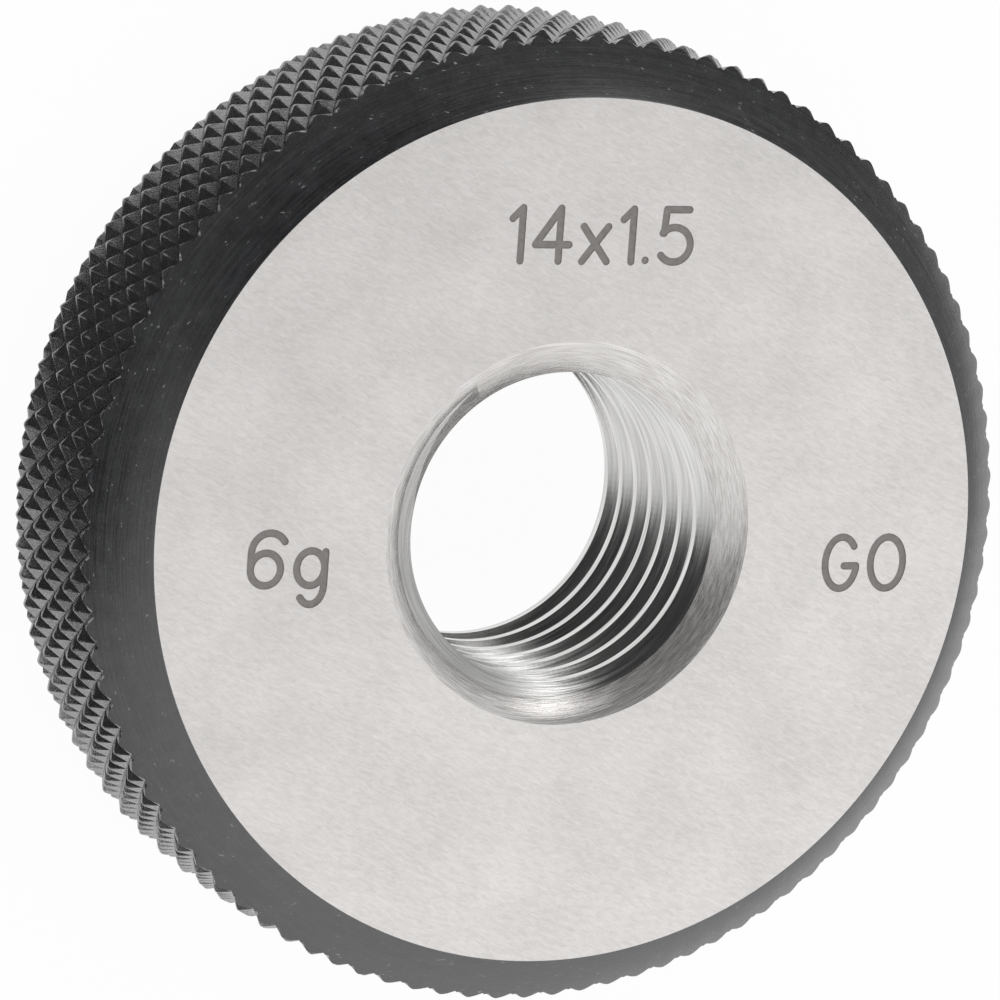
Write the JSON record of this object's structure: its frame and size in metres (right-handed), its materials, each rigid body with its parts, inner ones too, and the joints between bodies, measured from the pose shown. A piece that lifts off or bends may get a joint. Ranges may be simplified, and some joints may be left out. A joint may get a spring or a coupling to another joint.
{
  "type": "thread ring gauge",
  "caption": "Solid steel go thread ring gauge with a threaded, countersunk bore, ground faces, and a blackened diamond-knurled rim between turned chamfers.",
  "frame": {"origin": "on the bore axis, in the back face that the ring lies on", "axes": "+Z along the bore axis out of the marked face, +Y towards the thread size at the top of the marking, +X to the right of it"},
  "size_m": [0.0386, 0.0386, 0.0126],
  "materials": {
    "gauge_steel": "ground bright faces and thread, black oxide on the knurled rim and chamfers"
  },
  "bodies": {
    "root": {"gauge_ring": "gauge_steel"}
  },
  "joints": []
}
